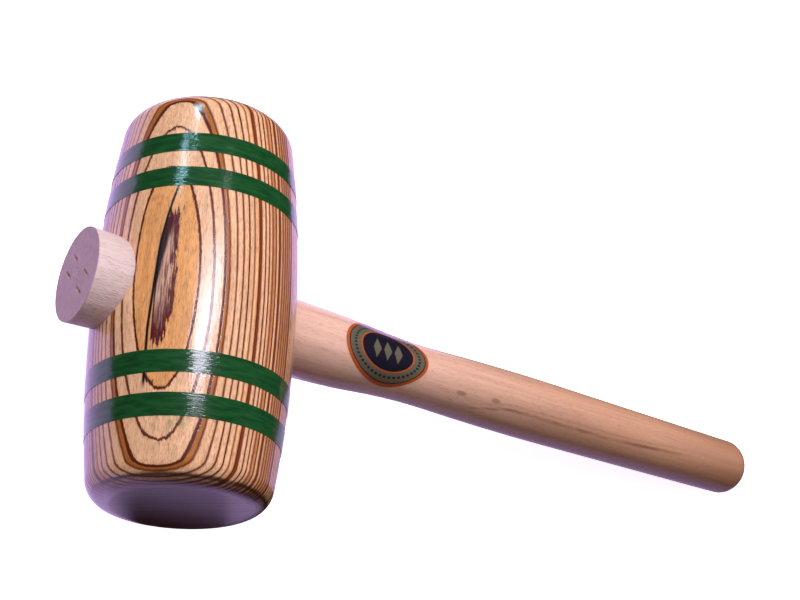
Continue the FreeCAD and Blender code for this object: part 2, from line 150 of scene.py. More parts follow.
class Shader:
    """The node tree of one material. Each method adds nodes and returns the output with the result."""

    def __init__(self, name):
        self.material = bpy.data.materials.new(name)
        self.material.use_nodes = True
        self.tree = self.material.node_tree
        self.tree.nodes.clear()

    def feed(self, socket, value):
        """Joins an output to an input, or sets the input to a plain value."""
        if isinstance(value, bpy.types.NodeSocket):
            self.tree.links.new(value, socket)
        else:
            socket.default_value = value

    def node(self, kind, inputs=(), **settings):
        made = self.tree.nodes.new(kind)
        for name, value in settings.items():
            setattr(made, name, value)
        for name, value in dict(inputs).items():
            self.feed(made.inputs[name], value)
        return made

    def math(self, operation, *values):
        made = self.node("ShaderNodeMath", operation=operation)
        for socket, value in zip(made.inputs, values):
            self.feed(socket, value)
        return made.outputs[0]

    def add(self, a, b):
        return self.math("ADD", a, b)

    def subtract(self, a, b):
        return self.math("SUBTRACT", a, b)

    def times(self, a, b):
        return self.math("MULTIPLY", a, b)

    def distance(self, a, b):
        """The long side of a right-angled triangle."""
        return self.math("SQRT", self.add(self.times(a, a), self.times(b, b)))

    def total(self, *values):
        result = values[0]
        for value in values[1:]:
            result = self.add(result, value)
        return result

    def most(self, *values):
        result = values[0]
        for value in values[1:]:
            result = self.math("MAXIMUM", result, value)
        return result

    def place_mm(self, origin):
        """Where the point is, in millimetres from an origin that is given in metres."""
        coordinates = self.node("ShaderNodeTexCoord").outputs["Object"]
        moved = self.node("ShaderNodeVectorMath", {0: coordinates, 1: origin}, operation="SUBTRACT")
        scaled = self.node("ShaderNodeVectorMath", {0: moved.outputs[0], "Scale": 1 / MM}, operation="SCALE")
        return scaled.outputs[0]

    def reach(self, place, direction):
        """How far a place is along a direction."""
        made = self.node("ShaderNodeVectorMath", {0: place, 1: direction}, operation="DOT_PRODUCT")
        return made.outputs["Value"]

    def vector(self, x, y, z):
        return self.node("ShaderNodeCombineXYZ", {"X": x, "Y": y, "Z": z}).outputs[0]

    def noise(self, place, grain, detail=2.0, roughness=0.5, distortion=0.0):
        """Smooth noise from 0 to 1 whose blotches are about as long as grain, (x, y, z) in millimetres."""
        finer = [1 / size for size in grain]
        scaled = self.node("ShaderNodeVectorMath", {0: place, 1: finer}, operation="MULTIPLY")
        made = self.node(
            "ShaderNodeTexNoise",
            {
                "Vector": scaled.outputs[0],
                "Scale": 1.0,
                "Detail": detail,
                "Roughness": roughness,
                "Distortion": distortion,
            },
        )
        return made.outputs[0]

    def swing(self, noise, size):
        """A noise as a swing to either side of 0."""
        return self.times(self.subtract(noise, 0.5), size)

    def lot(self, number, seed=0.0):
        """A fixed random value from 0 to 1 for each whole number."""
        moved = self.add(number, seed + 0.5)
        return self.node("ShaderNodeTexWhiteNoise", {"W": moved}, noise_dimensions="1D").outputs["Value"]

    def between(self, value, start, end, low=0.0, high=1.0, smooth=True):
        """low before start and high after end, with a smooth step from one to the other."""
        made = self.node(
            "ShaderNodeMapRange",
            {"Value": value, "From Min": start, "From Max": end, "To Min": low, "To Max": high},
            interpolation_type="SMOOTHSTEP" if smooth else "LINEAR",
        )
        return made.outputs[0]

    def window(self, value, low, high, edge=0.1):
        """1 between low and high, and 0 outside."""
        rise = self.between(value, low - edge, low + edge)
        fall = self.between(value, high - edge, high + edge)
        return self.subtract(rise, fall)

    def pick(self, share, a, b):
        """The number a where share is 0, b where it is 1."""
        made = self.node("ShaderNodeMix", data_type="FLOAT", clamp_factor=True)
        for index, value in ((0, share), (2, a), (3, b)):
            self.feed(made.inputs[index], value)
        return made.outputs[0]

    def blend(self, share, a, b, way="MIX"):
        """The colour a where share is 0, b where it is 1."""
        made = self.node("ShaderNodeMix", data_type="RGBA", blend_type=way, clamp_factor=True)
        for index, value in ((0, share), (6, a), (7, b)):
            self.feed(made.inputs[index], value)
        return made.outputs[2]

    def mottle(self, tone, noise, low, high):
        """A colour times low where a noise is low, and times high where it is high."""
        share = self.between(noise, NOISE_LOW, NOISE_HIGH, low, high, smooth=False)
        return self.node("ShaderNodeHueSaturation", {"Value": share, "Color": tone}).outputs[0]

    def bump(self, height_mm):
        """A surface normal from a height in millimetres."""
        return self.node("ShaderNodeBump", {"Strength": 1.0, "Distance": MM, "Height": height_mm}).outputs[0]

    def lean(self, normal, direction, amount):
        """A normal leaned a little in a direction."""
        push = self.node("ShaderNodeVectorMath", {0: direction, "Scale": amount}, operation="SCALE")
        leaned = self.node("ShaderNodeVectorMath", {0: normal, 1: push.outputs[0]}, operation="ADD")
        return self.node("ShaderNodeVectorMath", {0: leaned.outputs[0]}, operation="NORMALIZE").outputs[0]

    def finish(self, **inputs):
        """Ends the tree in one Principled shader. Input names use _ for a space."""
        named = {name.replace("_", " "): value for name, value in inputs.items()}
        shader = self.node("ShaderNodeBsdfPrincipled", named)
        output = self.node("ShaderNodeOutputMaterial")
        self.tree.links.new(shader.outputs[0], output.inputs["Surface"])
        return self.material


# ---------------------------------------------------------------- places on the head


def head_place(shader):
    """Depth, Across and Along in the head, in millimetres."""
    place = shader.place_mm(HEAD_CENTRE)
    return [shader.reach(place, direction) for direction in (THROUGH_PLIES, ACROSS_PLIES, ALONG_HEAD)]


def round_place(shader):
    """A flat map of the head's surface, and the direction that runs round it.

    The map's X is the turn about the head and its Y is Along, both in millimetres.
    """
    place = shader.place_mm(HEAD_CENTRE)
    x = shader.reach(place, Vector((1, 0, 0)))
    z = shader.reach(place, Vector((0, 0, 1)))
    turn = shader.times(shader.math("ARCTAN2", z, x), HEAD_RADIUS_MM)
    onward = shader.vector(shader.times(z, -1 / HEAD_RADIUS_MM), 0.0, shader.times(x, 1 / HEAD_RADIUS_MM))
    return shader.vector(turn, shader.reach(place, ALONG_HEAD), 0.0), onward


# ---------------------------------------------------------------- how the plies lie

# The plies bow, twist and crown a little, in millimetres of depth over these lengths.
SIDE_MM = 20.0
BOW_LENGTH_MM = 50.0
BOW_MIDDLE = 0.53
BOW_ACROSS = 0.53
BOW_ALONG = 0.25
BOW_TWIST = 0.63
CROWN_ACROSS = 0.94
CROWN_ALONG = 0.33

# Their faces also wander slowly and are jagged finely, again in millimetres of depth.
WANDER_GRAIN = (9.0, 55.0, 5.0)
WANDER_MM = 0.35
JAG_GRAIN = (0.8, 3.0, 0.8)
JAG_MM = 0.22

LEAST_SLOPE = 0.03


def bow_place(shader, across, along):
    """Across and Along as shares of the lengths that the plies bow over."""
    u = shader.between(across, -SIDE_MM, SIDE_MM, -1.0, 1.0, smooth=False)
    return u, shader.times(along, 1 / BOW_LENGTH_MM)


def bowed(shader, depth, u, v):
    """How far through the stack of bowed plies a point really is."""
    bow = shader.total(
        BOW_MIDDLE,
        shader.times(u, BOW_ACROSS),
        shader.times(v, BOW_ALONG),
        shader.times(shader.times(u, v), BOW_TWIST),
        shader.times(shader.times(u, u), -CROWN_ACROSS),
        shader.times(shader.times(v, v), -CROWN_ALONG),
    )
    return shader.subtract(depth, bow)


def cut_slope(shader, u, v):
    """How steeply the surface cuts the plies: millimetres of depth for each millimetre along the surface."""
    by_across = shader.total(BOW_ACROSS, shader.times(v, BOW_TWIST), shader.times(u, -2 * CROWN_ACROSS))
    by_along = shader.total(BOW_ALONG, shader.times(u, BOW_TWIST), shader.times(v, -2 * CROWN_ALONG))
    by_across = shader.times(by_across, 1 / SIDE_MM)
    by_along = shader.times(by_along, 1 / BOW_LENGTH_MM)
    normal = shader.node("ShaderNodeTexCoord").outputs["Normal"]
    facing = shader.subtract(
        shader.reach(normal, THROUGH_PLIES),
        shader.add(
            shader.times(by_across, shader.reach(normal, ACROSS_PLIES)),
            shader.times(by_along, shader.reach(normal, ALONG_HEAD)),
        ),
    )
    full = shader.total(1.0, shader.times(by_across, by_across), shader.times(by_along, by_along))
    rest = shader.subtract(full, shader.times(facing, facing))
    return shader.math("MAXIMUM", shader.math("SQRT", shader.math("MAXIMUM", rest, 0.0)), LEAST_SLOPE)


def cut_plies(shader, depth, across, along, place):
    """How deep in the stack the surface cuts the plies, and how steeply."""
    u, v = bow_place(shader, across, along)
    wander = shader.swing(shader.noise(place, WANDER_GRAIN), WANDER_MM)
    jag = shader.swing(shader.noise(place, JAG_GRAIN, detail=3.0, roughness=0.6), JAG_MM)
    return shader.total(bowed(shader, depth, u, v), wander, jag), cut_slope(shader, u, v)


def ply_at(shader, depth):
    """The ply at a depth: is it dark, its number, and how far below its upper and above its lower face."""
    down = shader.subtract(DARK_TOP_MM, depth)
    repeat = shader.math("FLOOR", shader.math("DIVIDE", down, REPEAT_MM))
    below_dark_top = shader.math("FLOORED_MODULO", down, REPEAT_MM)
    dark = shader.math("LESS_THAN", below_dark_top, DARK_PLY_MM)
    in_light = shader.subtract(below_dark_top, DARK_PLY_MM)
    below = shader.pick(dark, shader.math("FLOORED_MODULO", in_light, LIGHT_PLY_MM), below_dark_top)
    above = shader.subtract(shader.pick(dark, LIGHT_PLY_MM, DARK_PLY_MM), below)
    step = shader.add(1, shader.math("FLOOR", shader.math("DIVIDE", in_light, LIGHT_PLY_MM)))
    number = shader.add(shader.times(repeat, LIGHT_PLIES_BETWEEN + 1), shader.pick(dark, step, 0))
    return dark, number, below, above


# ---------------------------------------------------------------- glue lines and ply colours

# Half the width of a glue line on the surface, and its soft edge, where the cut is flat and where steep.
SLOPES = (0.15, 0.75)
GLUE_HALF_MM = (0.31, 0.15)
GLUE_FADE_MM = (0.30, 0.20)
GLUE_WEIGHTS = (0.6, 1.0)
GLUE_SHARE = 0.95

# Where the cut is flat, the lower line of a ply is toothed.
FLAT_CUT = (0.3, 0.1)
TOOTH_GRAIN = (0.6, 4.0, 1.0)
TOOTH_NOISE = (0.52, 0.75)
TEETH_MM = 1.6

# Glue soaks into the top of each dark ply, and stains the wood on both sides of a line.
SOAKED_MM = 0.2
SOAKED_FADE_MM = 0.1
SOAKED_SHARE = 0.9
STAIN_MM = 0.9
STAIN_SHARE = 0.6

# The outermost ply is amber. Some plies lower down are browner, at these shares of the head's radius. The
# topmost dark ply is ochre and the others umber.
AMBER_DEPTH_MM = DARK_TOP_MM + 2 * LIGHT_PLY_MM
AMBER_EDGE_MM = 0.05
HEART_DEPTH_MM = AMBER_DEPTH_MM + 0.7 * LIGHT_PLY_MM
HEART_FADE_MM = 0.1
BROWN_DEPTHS = ((0.17, 0.37), (0.45, 0.51))
BROWN_SHARE = 0.75
OCHRE_DEPTH_MM = (28, 30)

# Broad figure and fine grain, each ply's own, and how much darker and lighter they make it.
FINE_GRAIN = (0.33, 3.2, 0.33)
FINE_SHADES = (1.1, 0.86)
BROAD_GRAIN = (2.0, 30.0, 0.9)
BROAD_SHADES = (0.82, 1.1)
PLY_SHIFT_MM = 13.7
FLECK_NOISE = (0.48, 0.72)
FLECK_SHARE = 0.5


def line_share(shader, distance, face_number, half_width, fade):
    """How dark a glue line is at a distance from its ply face: each line has a weight of its own."""
    weight = shader.between(shader.lot(face_number, seed=7), 0, 1, *GLUE_WEIGHTS)
    return shader.times(weight, shader.between(distance, shader.add(half_width, fade), half_width))


def glue_lines(shader, ply, slope, flat):
    """How much glue line shows, and how much stain beside it. Widths are as they look on the surface."""
    dark, number, below, above = ply
    from_upper = shader.math("DIVIDE", below, slope)
    from_lower = shader.math("DIVIDE", above, slope)
    half_width = shader.between(slope, *SLOPES, *GLUE_HALF_MM)
    fade = shader.between(slope, *SLOPES, *GLUE_FADE_MM)
    ragged = shader.noise(flat, TOOTH_GRAIN, detail=2.0, roughness=0.6)
    teeth = shader.times(shader.between(ragged, *TOOTH_NOISE), shader.between(slope, *FLAT_CUT))
    toothed = shader.add(half_width, shader.times(teeth, TEETH_MM))
    upper = line_share(shader, from_upper, number, half_width, fade)
    lower = line_share(shader, from_lower, shader.add(number, 1), toothed, fade)
    soaked = shader.times(dark, shader.between(below, SOAKED_MM + SOAKED_FADE_MM, SOAKED_MM))
    glue = shader.most(upper, lower, shader.times(soaked, SOAKED_SHARE))
    return glue, shader.between(shader.math("MINIMUM", from_upper, from_lower), STAIN_MM, 0.0)


def ply_tone(shader, depth, dark, number):
    """The ground colour of each ply."""
    tone = shader.blend(shader.lot(number, seed=3), PEACH_PLY, PINK_PLY)
    brown = shader.most(
        *[shader.window(depth, low * HEAD_RADIUS_MM, high * HEAD_RADIUS_MM) for low, high in BROWN_DEPTHS]
    )
    tone = shader.blend(shader.times(brown, BROWN_SHARE), tone, BROWN_PLY)
    amber = shader.between(depth, AMBER_DEPTH_MM - AMBER_EDGE_MM, AMBER_DEPTH_MM + AMBER_EDGE_MM)
    tone = shader.blend(amber, tone, AMBER_PLY)
    dark_tone = shader.blend(shader.between(depth, *OCHRE_DEPTH_MM), UMBER_PLY, OCHRE_PLY)
    return shader.blend(dark, tone, dark_tone)


def ply_figure(shader, tone, depth, across, along, number):
    """The ply's colour with its figure and flecks, and the fine grain itself."""
    own = shader.vector(across, along, shader.add(depth, shader.times(number, PLY_SHIFT_MM)))
    fine = shader.noise(own, FINE_GRAIN, detail=3.0, roughness=0.65)
    broad = shader.noise(own, BROAD_GRAIN, detail=3.0)
    tone = shader.mottle(tone, broad, *BROAD_SHADES)
    tone = shader.mottle(tone, fine, *FINE_SHADES)
    return shader.blend(shader.between(fine, *FLECK_NOISE, 0.0, FLECK_SHARE), tone, PLY_FLECK), fine


# ---------------------------------------------------------------- marks on the head, in its millimetres

# The black seam: where it starts and ends Along, where it lies Across at two places, and its far curve.
SEAM_ALONG = (-45, 34)
SEAM_STRAIGHT_ALONG = (-24, 14)
SEAM_STRAIGHT_ACROSS = (-6.0, -3.7)
SEAM_CURVE_ALONG = (8, 32)
SEAM_CURVE_POWER = 1.5
SEAM_CURVE_MM = 4.1
SEAM_WIDTH_ALONG = (-35, 25)
SEAM_WIDTHS = (0.65, 0.6)
SEAM_EDGE = (1.1, 0.5)
SEAM_END_MM = 2.0

# The worn patch beside the seam: its outline, its streaks, the dark tones along its sides, and where and how
# much it darkens towards each end.
HEART_LEFT = -4.9
HEART_RIGHT = 2.6
HEART_FOOT = -31
HEART_TOP = 22
HEART_END_SLANT = 0.3
HEART_TAPER_ALONG = (-34, -14)
HEART_TAPER_MM = 3.2
HEART_JAG_GRAIN = (0.9, 7.0, 1.0)
HEART_JAG_MM = 7.0
HEART_GAP_MM = 0.1
HEART_CORNER_MM = 0.3
HEART_EDGE_MM = 0.4
HEART_STREAK_GRAIN = (0.8, 11.0, 1.0)
HEART_STREAK_NOISE = (0.40, 0.58)
HEART_RIM_MM = (2.6, 1.2)
HEART_RIM_SHARE = 0.9
HEART_SHADOW_ALONG = (-14, 16)
HEART_SHADOW_MM = (1.1, 4.0)
HEART_SHADOW_FADE = (1.0, 0.35)
HEART_SHADOW_SHARE = 0.95
HEART_ENDS = ((9, 17, 0.8), (-10, -24, 0.75))

# The striking faces: darker end grain, partly painted shade, and a scorched line on their rounding.
END_FACE_START = HEAD_END_MM - 3.5
END_FACE_FULL = HEAD_END_MM - 0.2
# How strongly the end grain and its painted shade darken the striking faces.
END_GRAIN_AND_SHADE_SHARE = 0.85
SCORCH_ALONG = (HEAD_END_MM - 3.2, HEAD_END_MM - 2.0)
SCORCH_EDGE_MM = 0.5
SCORCH_WAVER_MM = 1.6
SCORCH_GRAIN = (9.0, 2.5, 9.0)
SCORCH_NOISE = (0.22, 0.46)
SCORCH_SHARE = 0.9

# The smear of paint.
SMEAR_ALONG = (-60, -54)
SMEAR_ACROSS = (-2, 11)
SMEAR_EDGE_MM = 3.0
SMEAR_GRAIN = (2.5, 4.0, 2.5)
SMEAR_NOISE = (0.35, 0.7)
SMEAR_SHARE = 0.6


def heart_seam(shader, along):
    """How far Across the seam runs at each place Along: straight at one end and curving at the other."""
    straight = shader.between(along, *SEAM_STRAIGHT_ALONG, *SEAM_STRAIGHT_ACROSS, smooth=False)
    curve = shader.math("POWER", shader.between(along, *SEAM_CURVE_ALONG, smooth=False), SEAM_CURVE_POWER)
    return shader.add(straight, shader.times(curve, SEAM_CURVE_MM))


def heart_edges(shader, across, along, from_seam):
    """How far inside the patch a place is from its left, right, top and foot. All but the left are ragged."""
    flat = shader.vector(across, along, 0.0)
    jag = shader.swing(shader.noise(flat, HEART_JAG_GRAIN, detail=3.0, roughness=0.6), HEART_JAG_MM)
    beside_seam = shader.subtract(from_seam, HEART_GAP_MM)
    left = shader.math("MINIMUM", beside_seam, shader.subtract(across, HEART_LEFT))
    taper = shader.between(along, *HEART_TAPER_ALONG, HEART_TAPER_MM, 0.0)
    right = shader.add(shader.subtract(shader.subtract(HEART_RIGHT, taper), across), jag)
    top = shader.add(shader.times(shader.subtract(HEART_TOP, along), HEART_END_SLANT), jag)
    foot = shader.add(shader.times(shader.subtract(along, HEART_FOOT), HEART_END_SLANT), jag)
    return left, right, top, foot


def heart_tone(shader, across, along, edges):
    """Grey wood with brown streaks, purple towards the right, top and foot, and black beside the seam."""
    left, right, _, foot = edges
    streaks = shader.noise(shader.vector(across, along, 0.0), HEART_STREAK_GRAIN, detail=4.0, roughness=0.6)
    tone = shader.blend(shader.between(streaks, *HEART_STREAK_NOISE), HEART_BROWN, HEART_GREY)
    rim = shader.between(shader.math("MINIMUM", right, foot), *HEART_RIM_MM)
    tone = shader.blend(shader.times(rim, HEART_RIM_SHARE), tone, HEART_PURPLE)
    shadow_width = shader.between(along, *HEART_SHADOW_ALONG, *HEART_SHADOW_MM)
    shadow = shader.between(shader.math("DIVIDE", left, shadow_width), *HEART_SHADOW_FADE)
    tone = shader.blend(shader.times(shadow, HEART_SHADOW_SHARE), tone, HEART_BLACK)
    for start, end, share in HEART_ENDS:
        tone = shader.blend(shader.times(shader.between(along, start, end), share), tone, HEART_PURPLE)
    return tone


def heart_patch(shader, across, along, tone):
    """The grey-brown patch where the outermost ply is sanded almost through, with its black seam."""
    from_seam = shader.subtract(across, heart_seam(shader, along))
    edges = heart_edges(shader, across, along, from_seam)
    inside = edges[0]
    for distance in edges[1:]:
        inside = shader.math("SMOOTH_MIN", inside, distance, HEART_CORNER_MM)
    covered = shader.between(inside, 0.0, HEART_EDGE_MM)
    tone = shader.blend(covered, tone, heart_tone(shader, across, along, edges))
    seam_width = shader.between(along, *SEAM_WIDTH_ALONG, *SEAM_WIDTHS, smooth=False)
    off_seam = shader.math("DIVIDE", shader.math("ABSOLUTE", from_seam), seam_width)
    here_along = shader.window(along, *SEAM_ALONG, edge=SEAM_END_MM)
    seam = shader.times(shader.between(off_seam, *SEAM_EDGE), here_along)
    return shader.blend(seam, tone, HEART_BLACK)


def paint_smear(shader, across, along, place, tone):
    """A faint smear of the bands' green on the wood beside the outer left band."""
    cloud = shader.noise(place, SMEAR_GRAIN, detail=3.0)
    here_along = shader.window(along, *SMEAR_ALONG, edge=SMEAR_EDGE_MM)
    here_across = shader.window(across, *SMEAR_ACROSS, edge=SMEAR_EDGE_MM)
    thickness = shader.between(cloud, *SMEAR_NOISE, 0.0, SMEAR_SHARE)
    return shader.blend(shader.times(shader.times(here_along, here_across), thickness), tone, PAINT_SMEAR)


def end_grain_shade_and_scorch(shader, from_middle, end_face, place, tone):
    """Darker end grain on the striking faces, partly painted shade on these faces, and a scorched line on their
    rounding.
    """
    tone = shader.blend(shader.times(end_face, END_GRAIN_AND_SHADE_SHARE), tone, END_GRAIN_AND_SHADE, way="MULTIPLY")
    blotches = shader.noise(place, SCORCH_GRAIN, detail=4.0, roughness=0.65)
    wavy = shader.add(from_middle, shader.swing(blotches, SCORCH_WAVER_MM))
    line = shader.window(wavy, *SCORCH_ALONG, edge=SCORCH_EDGE_MM)
    scorched = shader.times(line, shader.between(blotches, *SCORCH_NOISE))
    return shader.blend(shader.times(scorched, SCORCH_SHARE), tone, SCORCH)


# ---------------------------------------------------------------- the laminated head

# The wood under the lacquer.
PLY_ROUGHNESS = (0.38, 0.5)
FINE_GRAIN_MM = 0.02

# The lacquer's skin waves a little, has specks in it, dips at the glue lines, and ripples round the head.
LACQUER_ROUGHNESS = (0.09, 0.14)
END_FACE_ROUGHNESS = 0.3
SKIN_GRAIN = (1.1, 3.5, 1.1)
SKIN_MM = 0.03
SPECK_GRAIN = (0.7, 0.9, 0.7)
SPECK_NOISE = (0.45, 0.75)
SPECK_MM = 0.02
GLUE_DIP_MM = -0.02
RIPPLE_GRAIN = (1.4, 0.5, 1.0)
RIPPLE_LEAN = 0.16


def lacquer(shader, place, glue, end_face):
    """Roughness and normal of the clear lacquer over the plies."""
    skin = shader.noise(place, SKIN_GRAIN, detail=3.0, roughness=0.6)
    specks = shader.noise(place, SPECK_GRAIN, detail=1.0)
    height = shader.total(
        shader.times(skin, SKIN_MM),
        shader.times(shader.between(specks, *SPECK_NOISE), SPECK_MM),
        shader.times(glue, GLUE_DIP_MM),
    )
    flat, onward = round_place(shader)
    ripple = shader.noise(flat, RIPPLE_GRAIN, detail=2.0, roughness=0.6)
    roughness = shader.between(skin, NOISE_LOW, NOISE_HIGH, *LACQUER_ROUGHNESS)
    roughness = shader.pick(end_face, roughness, END_FACE_ROUGHNESS)
    return roughness, shader.lean(shader.bump(height), onward, shader.swing(ripple, RIPPLE_LEAN))


def laminate(name):
    """Clear-lacquered plies. Both ply materials share it, so that figure and lines run on over each joint."""
    shader = Shader(name)
    depth, across, along = head_place(shader)
    place = shader.vector(across, along, depth)
    cut_depth, slope = cut_plies(shader, depth, across, along, place)
    ply = dark, number, _, _ = ply_at(shader, cut_depth)
    glue, stain = glue_lines(shader, ply, slope, shader.vector(across, along, 0.0))
    outside_heart = shader.between(cut_depth, HEART_DEPTH_MM, HEART_DEPTH_MM - HEART_FADE_MM)
    glue = shader.times(glue, outside_heart)

    tone = ply_tone(shader, cut_depth, dark, number)
    tone, fine = ply_figure(shader, tone, depth, across, along, number)
    tone = shader.blend(shader.times(stain, shader.times(outside_heart, STAIN_SHARE)), tone, GLUE_STAIN)
    tone = shader.blend(shader.times(glue, GLUE_SHARE), tone, GLUE_LINE)
    tone = heart_patch(shader, across, along, tone)
    tone = paint_smear(shader, across, along, place, tone)
    from_middle = shader.math("ABSOLUTE", along)
    end_face = shader.between(from_middle, END_FACE_START, END_FACE_FULL)
    # The striking faces darkened: end grain and painted shade, then the scorched line.
    tone = end_grain_shade_and_scorch(shader, from_middle, end_face, place, tone)

    coat_roughness, coat_normal = lacquer(shader, place, glue, end_face)
    return shader.finish(
        Base_Color=tone,
        Roughness=shader.between(fine, NOISE_LOW, HIGHEST_NOISE, *PLY_ROUGHNESS),
        Specular_IOR_Level=0.12,
        Normal=shader.bump(shader.times(fine, FINE_GRAIN_MM)),
        Coat_Weight=1.0,
        Coat_Roughness=coat_roughness,
        Coat_Normal=coat_normal,
    )


# ---------------------------------------------------------------- the painted bands

# Brush marks: round the head and Along it, in millimetres.
STROKE_GRAIN = (7.0, 0.8, 1.0)
STROKE_SHADES = (0.85, 1.2)
STROKE_MM = 0.05
RIDGE_GRAIN = (3.0, 0.4, 1.0)
RIDGE_LEAN = 0.4
BLOTCH_GRAIN = (9.0, 1.6, 1.0)
BLOTCH_NOISE = (0.35, 0.65)


def green_paint():
    """Gloss paint laid on with a brush while the head turns, so that its ridges run round it."""
    shader = Shader("green_gloss_paint")
    flat, onward = round_place(shader)
    strokes = shader.noise(flat, STROKE_GRAIN, detail=3.0, roughness=0.65)
    ridges = shader.noise(flat, RIDGE_GRAIN, detail=2.0, roughness=0.7)
    blotches = shader.noise(flat, BLOTCH_GRAIN, detail=3.0)
    tone = shader.blend(shader.between(blotches, *BLOTCH_NOISE), BAND_DEEP_GREEN, BAND_GREEN)
    tone = shader.mottle(tone, strokes, *STROKE_SHADES)
    brushed = shader.bump(shader.times(strokes, STROKE_MM))
    return shader.finish(
        Base_Color=tone,
        Roughness=0.3,
        Specular_IOR_Level=0.1,
        Coat_Weight=1.0,
        Coat_Roughness=0.06,
        Coat_Normal=shader.lean(brushed, onward, shader.swing(ridges, RIDGE_LEAN)),
    )


# ---------------------------------------------------------------- the handle

# Figure and flecks of the beech: Along, Aside and Up, in millimetres.
FIGURE_GRAIN = (70.0, 2.2, 2.2)
FIGURE_SHADES = (0.86, 1.1)
BEECH_FLECK_GRAIN = (3.0, 0.35, 0.35)
BEECH_FLECK_NOISE = (0.52, 0.74)
BEECH_FLECK_SHARE = 0.5
GRIP_END = 0.75 * BUTT_END
# Where the stub's end face begins, with its end grain and painted lilac shade.
STUB_FACE = (STUB_END + 0.3, STUB_END + 0.1)

# The flecks are nearly flush on the oiled handle and stand high on the stub, which is turned roughly.
BEECH_ROUGHNESS = (0.42, 0.6)
FLECK_MM = (0.05, 0.4)
OIL_WEIGHTS = (0.15, 0.7)

# The dark streak: where it shows Along, its turn about the handle in degrees, and its rise and fall.
STREAK_ALONG = (128, 250)
STREAK_END_MM = 18.0
STREAK_TURN = 38.0
STREAK_RISE_ALONG = (122, 150)
STREAK_RISE = 20.0
STREAK_FALL_ALONG = (200, 265)
STREAK_FALL = 13.0
STREAK_WAVER = 5.0
WAVER_GRAIN = (22.0, 9.0, 9.0)
STREAK_HALF_WIDTH = 5.5
STREAK_SHARE = 0.65
BREAK_GRAIN = (12.0, 1.5, 1.5)
BREAK_NOISE = (0.32, 0.6)
LEAST_LEFT = 0.35
SECOND_LINE = (-12, -7)
SECOND_EDGE = 2.5
SECOND_SHARE = 0.3

# The knots: where they are Along and about the handle, and their reach in millimetres and in degrees.
KNOTS = ((119.8, 34.7), (137.7, 30.2))
KNOT_HALF_LENGTH = 3.2
KNOT_HALF_TURN = 6.0
KNOT_EDGE = (1.0, 0.1)
KNOT_SHARE = 0.45


def handle_place(shader):
    """Along, Aside and Up in the handle, in millimetres from the middle of the head."""
    place = shader.place_mm(HEAD_CENTRE)
    return [shader.reach(place, direction) for direction in (ALONG_HANDLE, ASIDE_HANDLE, UP_FROM_HANDLE)]


def beech_ground(shader, along):
    """Greyish pink on the stub, pale at the waist, tanned by hands along the grip, brown at the butt, and on
    the stub's end face darker end grain with painted lilac shade.
    """
    tone = shader.blend(shader.between(along, STUB_END, EYE_END), BEECH_STUB, BEECH_PALE)
    tone = shader.blend(shader.between(along, EYE_END, GRIP_END), tone, BEECH_TAN)
    tone = shader.blend(shader.between(along, GRIP_END, BUTT_END), tone, BEECH_BUTT)
    # The stub's end face: darker end grain with painted lilac shade.
    return shader.blend(shader.between(along, *STUB_FACE), tone, BEECH_STUB_END_AND_LILAC_SHADE)


def dark_streak(shader, along, turn, place):
    """A broken dark growth line low on one side of the grip, and a faint one beside it: how much shows."""
    rise = shader.between(along, *STREAK_RISE_ALONG, STREAK_RISE, 0.0)
    fall = shader.between(along, *STREAK_FALL_ALONG, 0.0, STREAK_FALL)
    waver = shader.swing(shader.noise(place, WAVER_GRAIN, detail=3.0), STREAK_WAVER)
    off_line = shader.total(turn, -STREAK_TURN, shader.times(rise, -1), fall, waver)
    line = shader.between(shader.math("ABSOLUTE", off_line), STREAK_HALF_WIDTH, 0.0)
    broken = shader.between(shader.noise(place, BREAK_GRAIN, detail=3.0), *BREAK_NOISE, LEAST_LEFT, 1.0)
    faint = shader.times(shader.window(off_line, *SECOND_LINE, edge=SECOND_EDGE), SECOND_SHARE)
    both = shader.add(shader.times(line, broken), faint)
    return shader.times(both, shader.window(along, *STREAK_ALONG, edge=STREAK_END_MM))


def knot(shader, along, turn, middle_along, middle_turn):
    """A small brown spot on the handle: how much of it shows."""
    long_way = shader.times(shader.subtract(along, middle_along), 1 / KNOT_HALF_LENGTH)
    round_way = shader.times(shader.subtract(turn, middle_turn), 1 / KNOT_HALF_TURN)
    out = shader.add(shader.times(long_way, long_way), shader.times(round_way, round_way))
    return shader.between(out, *KNOT_EDGE)


def beech():
    """Oiled beech with fine flecks, a dark streak low on one side and two small knots."""
    shader = Shader("beech_handle_wood")
    along, aside, up = handle_place(shader)
    place = shader.vector(along, aside, up)
    turn = shader.math("DEGREES", shader.math("ARCTAN2", shader.times(aside, -1), up))
    figure = shader.noise(place, FIGURE_GRAIN, detail=4.0, roughness=0.6, distortion=0.3)
    tone = shader.mottle(beech_ground(shader, along), figure, *FIGURE_SHADES)
    flecks = shader.noise(place, BEECH_FLECK_GRAIN, detail=2.0, roughness=0.6)
    tone = shader.blend(shader.between(flecks, *BEECH_FLECK_NOISE, 0.0, BEECH_FLECK_SHARE), tone, BEECH_FLECK)
    knots = shader.most(*[knot(shader, along, turn, *middle) for middle in KNOTS])
    streak = dark_streak(shader, along, turn, place)
    marks = shader.most(shader.times(streak, STREAK_SHARE), shader.times(knots, KNOT_SHARE))
    tone = shader.blend(marks, tone, BEECH_STREAK)
    fleck_mm = shader.between(along, EYE_END, 0.0, *FLECK_MM)
    return shader.finish(
        Base_Color=tone,
        Roughness=shader.between(flecks, NOISE_LOW, HIGHEST_NOISE, *BEECH_ROUGHNESS),
        Specular_IOR_Level=0.3,
        Normal=shader.bump(shader.times(flecks, fleck_mm)),
        Coat_Weight=shader.between(along, 0.0, EYE_END, *OIL_WEIGHTS),
        Coat_Roughness=0.2,
    )


# ---------------------------------------------------------------- the label, in shares of its half sizes

